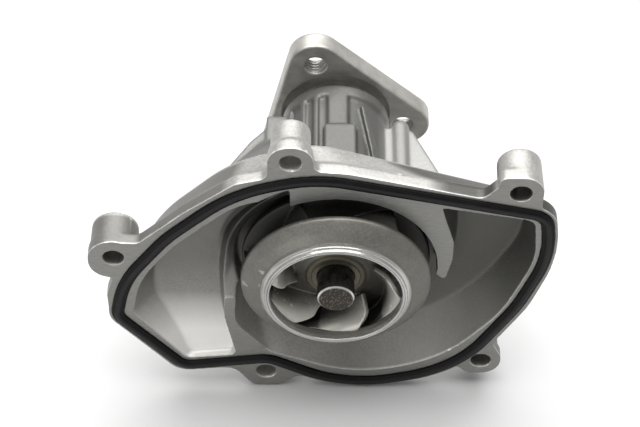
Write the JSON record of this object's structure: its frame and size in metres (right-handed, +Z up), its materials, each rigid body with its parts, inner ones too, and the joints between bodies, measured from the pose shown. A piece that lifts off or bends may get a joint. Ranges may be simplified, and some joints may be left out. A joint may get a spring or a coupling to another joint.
{
  "type": "engine water pump",
  "caption": "Engine coolant pump with a die-cast volute housing, closed impeller, ribbed bearing neck, shaft seal and three-lobed drive flange.",
  "frame": {"origin": "where the shaft axis meets the plane of the mounting face", "axes": "+Y along the shaft from the mounting face to the drive flange, +Z up towards the upper bolt holes, +X to the right seen from the impeller side"},
  "size_m": [0.1508, 0.0895, 0.1187],
  "materials": {
    "cast_housing": "die-cast, shot-blasted, with machined faces",
    "gasket_rubber": "moulded, slight sheen",
    "shaft_steel": "ground and oiled",
    "bearing_steel": "polished",
    "cage_plastic": "moulded",
    "seal_rubber": "matt",
    "flange_steel": "sintered, satin",
    "impeller_metal": "fine cast with turned lip",
    "bush_steel": "sintered, oiled",
    "seal_sheet": "pressed",
    "spring_steel": "drawn wire",
    "carbon": "lapped carbon",
    "ceramic": "lapped"
  },
  "bodies": {
    "housing": {"pump_housing": "cast_housing", "face_gasket": "gasket_rubber", "bearing_outer_ring": "bearing_steel", "front_bearing_seal": "seal_rubber", "rear_bearing_seal": "seal_rubber", "seal_cup": "seal_sheet", "seal_bellows": "seal_rubber", "seal_spring": "spring_steel", "seal_front_collar": "seal_sheet", "seal_rear_collar": "seal_sheet", "seal_carbon_ring": "carbon"},
    "rotor": {"pump_shaft": "shaft_steel", "drive_flange": "flange_steel", "impeller_shroud": "impeller_metal", "impeller_body": "impeller_metal", "impeller_hub_bush": "bush_steel", "seal_mating_ring": "ceramic", "mating_ring_boot": "seal_rubber", "water_slinger": "seal_rubber"},
    "front_ball_set": {"front_bearing_balls": "bearing_steel", "front_ball_cage": "cage_plastic"},
    "rear_ball_set": {"rear_bearing_balls": "bearing_steel", "rear_ball_cage": "cage_plastic"}
  },
  "joints": [
    {"name": "shaft_spin", "type": "hinge", "parent": "housing", "child": "rotor", "pos_m": [0, 0, 0], "axis": [0, 1, 0], "continuous": true},
    {"name": "front_ball_set_spin", "type": "hinge", "parent": "housing", "child": "front_ball_set", "pos_m": [0, 0.042, 0], "axis": [0, 1, 0], "continuous": true},
    {"name": "rear_ball_set_spin", "type": "hinge", "parent": "housing", "child": "rear_ball_set", "pos_m": [0, 0.058, 0], "axis": [0, 1, 0], "continuous": true}
  ],
  "couplings": [
    {"joint": "front_ball_set_spin", "follows": "shaft_spin", "ratio": 0.38},
    {"joint": "rear_ball_set_spin", "follows": "shaft_spin", "ratio": 0.38}
  ]
}
